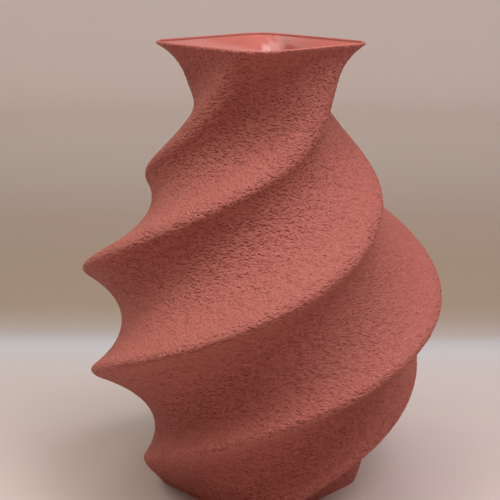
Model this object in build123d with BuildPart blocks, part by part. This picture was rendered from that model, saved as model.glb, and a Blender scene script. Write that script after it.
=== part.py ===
"""Twisted square vase, printed in one piece, in millimetres.

The vase is a square with rounded corners that makes one full turn about the vertical axis
between its foot and its rim, while the square grows to a belly, narrows to a neck and
flares at the mouth, where it ends in a narrow upright lip.  The four corners sweep into
four ribs, which climb to the right around the front.  The wall is the same thickness all
round, measured level, as a printer lays it, and the foot is closed by a flat floor.
The frame's origin is the centre of the foot's underside, +Z is up, and one corner of the
foot and of the rim points to -Y.
"""
from build123d import *
import os

os.makedirs("parts", exist_ok=True)

# Driving dimensions
height = 240.0
wall = 1.2
floor_thickness = 1.6
lip_height = 1.4
corner_radius = 14.0
foot_angle = -90.0

# Course of a rib: its reach from the axis, its turn in degrees, and its height
rib_stations = [
    (54.0, 0.0, 0.00 * height),
    (67.2, 29.0, 0.10 * height),
    (85.0, 88.5, 0.25 * height),
    (97.7, 142.5, 0.40 * height),
    (88.7, 195.5, 0.55 * height),
    (64.7, 249.0, 0.70 * height),
    (47.8, 293.0, 0.80 * height),
    (40.9, 330.0, 0.90 * height),
    (43.9, 349.5, 0.96 * height),
    (55.2, 360.0, 1.00 * height),
]

# Sections in each loft, spaced evenly along the rib's course
section_count = 36

with BuildLine() as rib_course:
    Spline(*rib_stations)


def station_at(step):
    """Level plane whose X axis points along the rib, and the rib's reach in that plane."""
    point = rib_course.line @ (step / section_count)
    plane = Plane.XY.offset(point.Z).rotated((0, 0, foot_angle + point.Y))
    return plane, point.X


def rounded_square(reach, inset):
    """Square with rounded corners on its X and Y axes, drawn inwards by the inset."""
    side = 2 * ((reach - corner_radius) / 2 ** 0.5 + corner_radius - inset)
    RectangleRounded(side, side, corner_radius - inset, rotation=45)


with BuildPart() as hollow:
    for step in range(section_count + 1):
        plane, reach = station_at(step)
        with BuildSketch(plane):
            rounded_square(reach, wall)
    loft()
    split(bisect_by=Plane.XY.offset(floor_thickness), keep=Keep.TOP)
    split(bisect_by=Plane.XY.offset(height - lip_height), keep=Keep.BOTTOM)
    extrude(faces().sort_by(Axis.Z)[-1], amount=lip_height)

with BuildPart() as vase:
    for step in range(section_count + 1):
        plane, reach = station_at(step)
        with BuildSketch(plane):
            rounded_square(reach, 0)
    loft()
    split(bisect_by=Plane.XY.offset(height - lip_height), keep=Keep.BOTTOM)
    extrude(faces().sort_by(Axis.Z)[-1], amount=lip_height)
    add(hollow.part, mode=Mode.SUBTRACT)

vase.part.label = "vase"
export_step(vase.part, "parts/vase.step")
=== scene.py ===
"""Looks of the twisted printed vase: a wrinkled skin outside, a smooth wall inside."""
import math

import bpy
import numpy as np
from mathutils import Matrix, Vector


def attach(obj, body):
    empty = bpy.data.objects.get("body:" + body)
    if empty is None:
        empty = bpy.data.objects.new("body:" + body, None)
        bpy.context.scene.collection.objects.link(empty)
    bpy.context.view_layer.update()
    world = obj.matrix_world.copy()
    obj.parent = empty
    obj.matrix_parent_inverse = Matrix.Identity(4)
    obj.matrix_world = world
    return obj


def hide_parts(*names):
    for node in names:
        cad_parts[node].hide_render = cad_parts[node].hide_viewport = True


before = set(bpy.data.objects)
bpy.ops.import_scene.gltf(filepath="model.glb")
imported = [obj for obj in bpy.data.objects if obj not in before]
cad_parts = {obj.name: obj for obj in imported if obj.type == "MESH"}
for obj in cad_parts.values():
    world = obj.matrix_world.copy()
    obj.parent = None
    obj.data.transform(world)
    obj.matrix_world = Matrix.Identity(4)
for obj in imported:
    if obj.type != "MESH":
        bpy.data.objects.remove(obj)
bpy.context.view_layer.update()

MM = 0.001
TAU = 2 * math.pi

# The vase's form, in millimetres and degrees, the same as the CAD part's
HEIGHT = 240.0
WALL = 1.2
FLOOR_THICKNESS = 1.6
CORNER_RADIUS = 14.0
FOOT_ANGLE = -90.0
RIB_STATIONS = (
    (54.0, 0.0, 0.00 * HEIGHT),
    (67.2, 29.0, 0.10 * HEIGHT),
    (85.0, 88.5, 0.25 * HEIGHT),
    (97.7, 142.5, 0.40 * HEIGHT),
    (88.7, 195.5, 0.55 * HEIGHT),
    (64.7, 249.0, 0.70 * HEIGHT),
    (47.8, 293.0, 0.80 * HEIGHT),
    (40.9, 330.0, 0.90 * HEIGHT),
    (43.9, 349.5, 0.96 * HEIGHT),
    (55.2, 360.0, 1.00 * HEIGHT),
)

# Height of the upright lip that ends the flared mouth, and of its rounded top
LIP_HEIGHT = 1.4
LIP_ROUND = 0.7

# Points along the rib's course, close enough to read it by straight lines between them
COURSE_POINTS = 4000

# Grid of the printed skin: columns round the axis, and rows up each band of the wall
AROUND = 900
BANDS = (
    "foot",
    "lower_side",
    "lower_belly",
    "middle_belly",
    "full_belly",
    "upper_belly",
    "lower_shoulder",
    "upper_shoulder",
    "neck",
    "mouth",
)
BAND_ROWS = 97

# Rows of the inside: over the lip's round, down its upright face, and down the inner wall
LIP_ROWS = 9
LIP_FACE_ROWS = 4
INSIDE_ROWS = 80

# Rings of the floor and of the underside, as parts of the outermost; the least closes the pole
FLOOR_RINGS = (0.97, 0.9, 0.6, 0.3, 0.001)
UNDERSIDE_RINGS = (0.001, 0.5, 0.97, 1.0)

# Noises of the printed skin: the cells' width, width and height in millimetres, and the seed
DRIFT = ((4.0, 4.0, 3.0), 5)
CREASES = ((1.1, 1.1, 0.5), 3)
SMALL_CREASES = ((0.7, 0.7, 0.36), 7)
SWELLS = ((3.2, 3.2, 2.0), 11)

# How far each of them moves the skin, in millimetres, and the plain height above the foot's edge
DRIFT_REACH = 0.7
CREASE_DEPTH = 0.60
PAD_RISE = 0.15
SWELL_RISE = 0.08
CALM_HEIGHT = 0.6


# ---------------------------------------------------------------- form

def end_slope(knots, values):
    """Slope at the first knot of the cubic that passes through the first four values."""
    slope = np.zeros(values.shape[1])
    for i in range(1, 4):
        rest = [j for j in range(1, 4) if j != i]
        weight = np.prod([(knots[0] - knots[j]) / (knots[i] - knots[j]) for j in rest])
        slope = slope + (values[i] - values[0]) * weight / (knots[i] - knots[0])
    return slope


def rib_course():
    """Smooth course of a rib through its stations, as columns of reach, turn and height.

    A cubic spline on the stations' chord length: the slopes at the stations make the
    curvature continuous, and each end's slope is that of the cubic through the nearest four.
    """
    points = np.array(RIB_STATIONS)
    knots = np.append(0.0, np.cumsum(np.linalg.norm(np.diff(points, axis=0), axis=1)))
    gaps = np.diff(knots)
    rises = np.diff(points, axis=0) / gaps[:, None]
    matrix = np.eye(len(points))
    right = np.empty_like(points)
    right[0] = end_slope(knots, points)
    right[-1] = end_slope(knots[::-1], points[::-1])
    for i in range(1, len(points) - 1):
        before, after = gaps[i - 1], gaps[i]
        matrix[i, i - 1:i + 2] = after, 2 * (before + after), before
        right[i] = 3 * (after * rises[i - 1] + before * rises[i])
    slopes = np.linalg.solve(matrix, right)
    along = np.linspace(0, knots[-1], COURSE_POINTS)
    i = np.clip(np.searchsorted(knots, along) - 1, 0, len(gaps) - 1)
    gap = gaps[i][:, None]
    t = ((along - knots[i]) / gaps[i])[:, None]
    return (
        points[i] * (1 + 2 * t) * (1 - t) ** 2
        + points[i + 1] * (3 - 2 * t) * t ** 2
        + slopes[i] * gap * t * (1 - t) ** 2
        - slopes[i + 1] * gap * t ** 2 * (1 - t)
    )


COURSE = rib_course()


def wall_point(azimuth, level, inset=0.0):
    """Point of the wall and its level normal, by azimuth and level, in millimetres and radians.

    A ray from the axis meets the rounded square of that level.  Measured from the nearest
    corner, it meets the corner's arc while its angle is small, and the straight side after
    that.  The normal points away from the arc's centre, or squarely off the side.  The lip
    rises straight up from the level where the flare ends.
    """
    flared = np.minimum(level, HEIGHT - LIP_HEIGHT)
    reach = np.interp(flared, COURSE[:, 2], COURSE[:, 0])
    turn = np.radians(FOOT_ANGLE + np.interp(flared, COURSE[:, 2], COURSE[:, 1]))
    radius = CORNER_RADIUS - inset
    centre = reach - CORNER_RADIUS
    side = centre / math.sqrt(2) + radius
    quarter = TAU / 4
    corner = turn + quarter * np.round((azimuth - turn) / quarter)
    angle = azimuth - corner
    arc_end = np.arctan2(radius / math.sqrt(2), centre + radius / math.sqrt(2))
    on_arc = np.abs(angle) < arc_end
    off_axis = centre * np.sin(angle)
    arc_reach = centre * np.cos(angle) + np.sqrt(np.maximum(radius ** 2 - off_axis ** 2, 0))
    side_reach = side / np.cos(TAU / 8 - np.abs(angle))
    distance = np.where(on_arc, arc_reach, side_reach)
    arc_lean = np.arcsin(np.clip(distance * np.sin(angle) / radius, -1, 1))
    lean = corner + np.where(on_arc, arc_lean, np.sign(angle) * TAU / 8)
    point = np.stack([distance * np.cos(azimuth), distance * np.sin(azimuth), level], -1)
    normal = np.stack([np.cos(lean), np.sin(lean), np.zeros_like(lean)], -1)
    return point, normal


# ---------------------------------------------------------------- printed skin

def lattice_value(cell, seed):
    """Repeatable value from 0 to 1 for each whole-number cell, by mixing its bits."""
    mixed = np.full(cell.shape[:-1], seed * 0x9E3779B1 & 0xFFFFFFFF, dtype=np.uint32)
    for axis, factor in enumerate((0x85EBCA6B, 0xC2B2AE35, 0x27D4EB2F)):
        mixed ^= cell[..., axis].astype(np.uint32) * np.uint32(factor)
        mixed ^= mixed >> np.uint32(15)
        mixed *= np.uint32(0x2C1B3C6D)
        mixed ^= mixed >> np.uint32(12)
    return mixed.astype(np.float64) / 0xFFFFFFFF


def grain(points, size, seed):
    """Smooth noise from -1 to 1 at the points: eased mix of the eight nearest lattice values.

    The lattice is turned about the axis by the seed in radians, and its cells have the given
    width, width and height in millimetres.
    """
    cos, sin = math.cos(seed), math.sin(seed)
    turned = points @ np.array(((cos, sin, 0), (-sin, cos, 0), (0, 0, 1)))
    scaled = turned / np.array(size) + 1000.0
    base = np.floor(scaled).astype(np.int64)
    part = scaled - base
    eased = part * part * part * (part * (part * 6 - 15) + 10)
    total = np.zeros(points.shape[:-1])
    for dx in (0, 1):
        for dy in (0, 1):
            for dz in (0, 1):
                step = np.array((dx, dy, dz))
                weight = np.prod(np.where(step, eased, 1 - eased), axis=-1)
                total += weight * lattice_value(base + step, seed)
    return total * 2 - 1


def skin_relief(points):
    """How far the printed skin stands off the smooth wall, in millimetres.

    Short level creases, wider than they are tall, cut into gentle pads: noise below zero
    counts four times as much as noise above it, and the small creases count half.  A slow
    drift bends the creases off level.
    """
    bent = points.copy()
    bent[..., 2] += DRIFT_REACH * grain(points, *DRIFT)
    rough = grain(bent, *CREASES) + 0.5 * grain(bent, *SMALL_CREASES)
    cut = CREASE_DEPTH * np.minimum(rough, 0) + PAD_RISE * np.maximum(rough, 0)
    return cut + SWELL_RISE * grain(points, *SWELLS)


# ---------------------------------------------------------------- meshes

def make_piece(name, points, faces, normals, material, shade=None):
    """Mesh object from points in millimetres, quads, and outward normals for its shading."""
    mesh = bpy.data.meshes.new(name)
    flat = points.reshape(-1, 3) * MM
    mesh.vertices.add(len(flat))
    mesh.vertices.foreach_set("co", flat.astype(np.float32).ravel())
    mesh.loops.add(faces.size)
    mesh.loops.foreach_set("vertex_index", faces.astype(np.int32).ravel())
    mesh.polygons.add(len(faces))
    mesh.polygons.foreach_set("loop_start", np.arange(0, faces.size, 4, dtype=np.int32))
    mesh.update(calc_edges=True)
    mesh.polygons.foreach_set("use_smooth", np.ones(len(faces), dtype=bool))
    if shade is not None:
        layer = mesh.attributes.new("relief", "FLOAT", "POINT")
        layer.data.foreach_set("value", shade.astype(np.float32).ravel())
    mesh.validate()
    mesh.normals_split_custom_set_from_vertices(normals.reshape(-1, 3))
    piece = bpy.data.objects.new(name, mesh)
    bpy.context.scene.collection.objects.link(piece)
    piece.data.materials.append(material)
    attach(piece, "root")
    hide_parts("vase")


def ring_faces(rows, columns):
    """Quads of a grid that closes on itself sideways, facing away from the axis."""
    row, column = np.meshgrid(np.arange(rows - 1), np.arange(columns), indexing="ij")
    here = row * columns + column
    beside = row * columns + (column + 1) % columns
    return np.stack([here, beside, beside + columns, here + columns], -1).reshape(-1, 4)


def grid_normals(points):
    """Unit normals of a closed ring grid, from its neighbours' differences."""
    sideways = np.roll(points, -1, axis=1) - np.roll(points, 1, axis=1)
    upwards = np.gradient(points, axis=0)
    normal = np.cross(sideways, upwards)
    return normal / np.linalg.norm(normal, axis=-1, keepdims=True)


def skin_grid():
    """Points, normals and relief of the whole printed skin, foot to rim.

    The relief fades in over a short height, so the foot's edge is plain and flat below.
    """
    rows = len(BANDS) * (BAND_ROWS - 1) + 1
    level = np.linspace(0, HEIGHT - LIP_ROUND, rows)[:, None]
    azimuth = np.linspace(0, TAU, AROUND, endpoint=False)[None, :]
    azimuth, level = np.broadcast_arrays(azimuth, level)
    point, normal = wall_point(azimuth, level)
    relief = skin_relief(point)
    fade = np.clip(level / CALM_HEIGHT, 0, 1)
    point = point + normal * (relief * fade)[..., None]
    return point, grid_normals(point), relief


def printed_skin(material):
    """The skin's bands, one piece each, cut from one grid so that they meet exactly."""
    points, normals, relief = skin_grid()
    faces = ring_faces(BAND_ROWS, AROUND)
    for i, band in enumerate(BANDS):
        low = i * (BAND_ROWS - 1)
        rows = slice(low, low + BAND_ROWS)
        make_piece(f"{band}_skin", points[rows], faces, normals[rows], material, relief[rows])
    return points[0], points[-1]


def smooth_inside(material, rim_edge):
    """Lip, smooth inner wall and floor, as one grid from the skin's top edge inwards.

    The lip's top is a half ellipse from the skin's edge to the lip's inner face.  Below it
    the wall follows the same rounded square as the outside, drawn inwards by its thickness,
    and the floor shrinks to a point.
    """
    azimuth = np.linspace(0, TAU, AROUND, endpoint=False)

    def inner_row(level):
        return wall_point(azimuth, np.full(AROUND, level), WALL)[0]

    inner_edge = inner_row(HEIGHT - LIP_ROUND)
    rows = []
    for part in np.linspace(0, 1, LIP_ROWS):
        across = (1 - math.cos(math.pi * part)) / 2
        row = rim_edge * (1 - across) + inner_edge * across
        row[:, 2] = HEIGHT - LIP_ROUND + LIP_ROUND * math.sin(math.pi * part)
        rows.append(row)
    for level in np.linspace(HEIGHT - LIP_ROUND, HEIGHT - LIP_HEIGHT, LIP_FACE_ROWS)[1:]:
        rows.append(inner_row(level))
    for level in np.linspace(HEIGHT - LIP_HEIGHT, FLOOR_THICKNESS, INSIDE_ROWS)[1:]:
        rows.append(inner_row(level))
    floor_edge = rows[-1]
    for shrink in FLOOR_RINGS:
        row = floor_edge.copy()
        row[:, :2] *= shrink
        rows.append(row)
    points = np.array(rows)
    faces = ring_faces(len(rows), AROUND)
    make_piece("inside_and_lip", points, faces, grid_normals(points), material)


def underside(material, foot_edge):
    """Flat face under the foot, from the skin's bottom edge to a point on the axis."""
    points = foot_edge[None] * np.array(UNDERSIDE_RINGS)[:, None, None]
    points[..., 2] = 0.0
    down = np.zeros_like(points)
    down[..., 2] = -1.0
    make_piece("underside", points, ring_faces(len(points), AROUND), down, material)


# ---------------------------------------------------------------- materials

def plastic(name, roughness):
    """New material with its nodes and its Principled shader."""
    material = bpy.data.materials.new(name)
    material.use_nodes = True
    shader = material.node_tree.nodes["Principled BSDF"]
    shader.inputs["Roughness"].default_value = roughness
    shader.inputs["IOR"].default_value = 1.46
    return material, material.node_tree.nodes, material.node_tree.links, shader


def stretched_noise(nodes, links, width, height):
    """Noise in cells of the given width and height, in metres, on the object's own axes."""
    place = nodes.new("ShaderNodeTexCoord")
    mapping = nodes.new("ShaderNodeMapping")
    mapping.inputs["Scale"].default_value = (1 / width, 1 / width, 1 / height)
    noise = nodes.new("ShaderNodeTexNoise")
    noise.inputs["Scale"].default_value = 1.0
    noise.inputs["Detail"].default_value = 1.0
    links.new(place.outputs["Object"], mapping.inputs["Vector"])
    links.new(mapping.outputs["Vector"], noise.inputs["Vector"])
    return noise.outputs["Fac"]


def spread(nodes, links, value, low, high):
    """The value from low to high, spread over 0 to 1 and cut off beyond."""
    stretch = nodes.new("ShaderNodeMapRange")
    stretch.inputs["From Min"].default_value = low
    stretch.inputs["From Max"].default_value = high
    links.new(value, stretch.inputs["Value"])
    return stretch.outputs["Result"]


def tint(nodes, links, shader, value, dark, pale):
    """Colour the shader from dark at 0 to pale at 1."""
    ramp = nodes.new("ShaderNodeValToRGB")
    for stop, colour in zip(ramp.color_ramp.elements, (dark, pale)):
        stop.color = (*colour, 1)
    links.new(value, ramp.inputs["Fac"])
    links.new(ramp.outputs["Color"], shader.inputs["Base Color"])


def raise_surface(nodes, links, shader, value, depth):
    """Bump of the given depth in metres from 0 to 1."""
    bump = nodes.new("ShaderNodeBump")
    bump.inputs["Strength"].default_value = 1.0
    bump.inputs["Distance"].default_value = depth
    links.new(value, bump.inputs["Height"])
    links.new(bump.outputs["Normal"], shader.inputs["Normal"])


def skin_plastic():
    """Matt red plastic with painted shade darkening its creases, and a fine crumb between them.

    Only the lower part of the crumb's noise is cut in, so the ground between stays smooth.
    """
    material, nodes, links, shader = plastic("matt_red_skin", 0.62)
    crumb = spread(nodes, links, stretched_noise(nodes, links, 0.75 * MM, 0.34 * MM), 0.30, 0.55)
    raise_surface(nodes, links, shader, crumb, 0.32 * MM)
    relief = nodes.new("ShaderNodeAttribute")
    relief.attribute_name = "relief"
    # Painted shade: the base colour darkens with the relief's depth, darkest deep in the creases
    height = spread(nodes, links, relief.outputs["Fac"], -0.40, 0.02)
    tint(nodes, links, shader, height, (0.40, 0.100, 0.077), (0.45, 0.121, 0.092))
    return material


def inside_plastic():
    """The same red plastic as laid by the nozzle: smooth, with faint level lines."""
    material, nodes, links, shader = plastic("smooth_red_inside", 0.22)
    lines = stretched_noise(nodes, links, 30 * MM, 0.5 * MM)
    raise_surface(nodes, links, shader, lines, 0.02 * MM)
    shade = spread(nodes, links, lines, 0.35, 0.65)
    tint(nodes, links, shader, shade, (0.46, 0.125, 0.101), (0.50, 0.138, 0.112))
    return material


# ---------------------------------------------------------------- stage

# Tones of the stage by distance behind the vase's axis, in metres
# The first tones grow lighter towards the axis: painted light on the floor that offsets the
# vase's shadow
TONES = (
    (0.00, (0.604, 0.494, 0.465)),
    (0.06, (0.571, 0.475, 0.450)),
    (0.11, (0.530, 0.446, 0.420)),
    (0.16, (0.502, 0.432, 0.415)),
    (0.204, (0.481, 0.447, 0.466)),
    (0.221, (0.433, 0.409, 0.424)),
    (0.239, (0.376, 0.318, 0.301)),
    (0.257, (0.350, 0.282, 0.249)),
    (0.277, (0.327, 0.249, 0.200)),
    (0.31, (0.303, 0.221, 0.164)),
    (0.445, (0.314, 0.233, 0.178)),
    (0.60, (0.358, 0.268, 0.220)),
    (0.81, (0.450, 0.365, 0.327)),
    (1.10, (0.590, 0.494, 0.448)),
    (1.50, (0.731, 0.624, 0.583)),
    (1.90, (0.778, 0.677, 0.643)),
)


# The stage's flat floor, the round of its bend and the top of its wall, in metres
STAGE_FLOOR = 1.4
STAGE_BEND = 0.5
STAGE_TOP = 2.6
STAGE_AROUND = 96
FLOOR_RADII = (0.0001, 0.4, 0.9)


def pale_stage():
    """Round floor that curves up into a wall all round, as one smooth sheet.

    A profile, flat from the axis and then a quarter circle, is turned once about the axis
    and ends in an upright wall.
    """
    curve = np.linspace(0, math.pi / 2, 17)
    wall = STAGE_FLOOR + STAGE_BEND
    across = np.concatenate([FLOOR_RADII, STAGE_FLOOR + STAGE_BEND * np.sin(curve), (wall,)])
    level = np.zeros(len(FLOOR_RADII))
    height = np.concatenate([level, STAGE_BEND - STAGE_BEND * np.cos(curve), (STAGE_TOP,)])
    angle = np.linspace(0, TAU, STAGE_AROUND, endpoint=False)
    points = np.stack([
        across[:, None] * np.cos(angle),
        across[:, None] * np.sin(angle),
        np.broadcast_to(height[:, None], (len(height), len(angle))),
    ], -1)
    faces = ring_faces(len(across), len(angle))
    mesh = bpy.data.meshes.new("pale_stage")
    mesh.from_pydata(points.reshape(-1, 3).tolist(), [], faces.tolist())
    mesh.polygons.foreach_set("use_smooth", np.ones(len(faces), dtype=bool))
    stage = bpy.data.objects.new("pale_stage", mesh)
    bpy.context.scene.collection.objects.link(stage)
    mesh.materials.append(pale_paper())


def pale_paper():
    """Pale table top, painted lighter near the vase's axis as painted light that offsets the
    vase's shadow, whose back edge fades into a tan ground that pales again behind.
    """
    material, nodes, links, shader = plastic("pale_paper", 0.8)
    place = nodes.new("ShaderNodeTexCoord")
    parts = nodes.new("ShaderNodeSeparateXYZ")
    tone = nodes.new("ShaderNodeValToRGB")
    stops = tone.color_ramp.elements
    while len(stops) < len(TONES):
        stops.new(1.0)
    span = TONES[-1][0] - TONES[0][0]
    for stop, (back, colour) in zip(stops, TONES):
        stop.position = (back - TONES[0][0]) / span
        stop.color = (*colour, 1)
    links.new(place.outputs["Object"], parts.inputs["Vector"])
    depth = spread(nodes, links, parts.outputs["Y"], TONES[0][0], TONES[-1][0])
    links.new(depth, tone.inputs["Fac"])
    links.new(tone.outputs["Color"], shader.inputs["Base Color"])
    return material


def soft_lamp(name, place, aim, size, power, colour):
    """Area lamp of a width and length at a place, turned towards its aim."""
    light = bpy.data.lights.new(name, "AREA")
    light.shape = "RECTANGLE"
    light.size, light.size_y = size
    light.energy = power
    light.color = colour
    lamp = bpy.data.objects.new(name, light)
    lamp.location = place
    lamp.rotation_euler = (Vector(aim) - Vector(place)).to_track_quat("-Z", "Y").to_euler()
    bpy.context.scene.collection.objects.link(lamp)


# Lamps by name, place in metres, width and length in metres, power in watts, and colour
LAMPS = (
    ("left_panel", (-0.46, -0.35, 1.5), (0.6, 1.1), 9.0, (1.0, 0.98, 0.93)),
    ("right_panel", (0.46, -0.35, 1.5), (0.6, 1.1), 15.9, (0.98, 0.96, 1.0)),
    ("left_box", (-1.06, 0.0, 1.18), (0.9, 0.9), 6.5, (0.81, 1.0, 0.90)),
    ("right_box", (1.06, 0.0, 1.18), (0.9, 0.9), 5.4, (0.86, 1.0, 0.96)),
)
LAMP_AIM = (0, 0, 0.12)
SURROUND_COLOUR = (1.0, 0.6, 0.5, 1)
SURROUND_STRENGTH = 0.10


def studio():
    """Two large panels overhead, a soft box at each side, and a faint warm surround."""
    for name, place, size, power, colour in LAMPS:
        soft_lamp(name, place, LAMP_AIM, size, power, colour)
    world = bpy.data.worlds.new("faint_surround")
    world.use_nodes = True
    background = world.node_tree.nodes["Background"]
    background.inputs["Color"].default_value = SURROUND_COLOUR
    background.inputs["Strength"].default_value = SURROUND_STRENGTH
    bpy.context.scene.world = world
    bpy.context.scene.view_settings.view_transform = "Standard"


# The camera's place in metres, its lens in millimetres, and its turns in degrees
CAMERA_PLACE = (0, -0.5926, 0.2924)
LENS = 83.7
SENSOR_WIDTH = 36.0
PAN = 0.475
TILT_DOWN = 15.255
ROLL = 0.24


def camera():
    """Long lens in front of the vase and a little above it, looking slightly down."""
    data = bpy.data.cameras.new("camera")
    data.lens = LENS
    data.sensor_width = SENSOR_WIDTH
    view = bpy.data.objects.new("camera", data)
    pan = Matrix.Rotation(math.radians(PAN), 4, "Z")
    tilt = Matrix.Rotation(math.radians(90 - TILT_DOWN), 4, "X")
    roll = Matrix.Rotation(math.radians(ROLL), 4, "Z")
    view.matrix_world = Matrix.Translation(CAMERA_PLACE) @ pan @ tilt @ roll
    bpy.context.scene.collection.objects.link(view)
    bpy.context.scene.camera = view


foot_edge, rim_edge = printed_skin(skin_plastic())
inside_material = inside_plastic()
smooth_inside(inside_material, rim_edge)
underside(inside_material, foot_edge)
pale_stage()
studio()
camera()
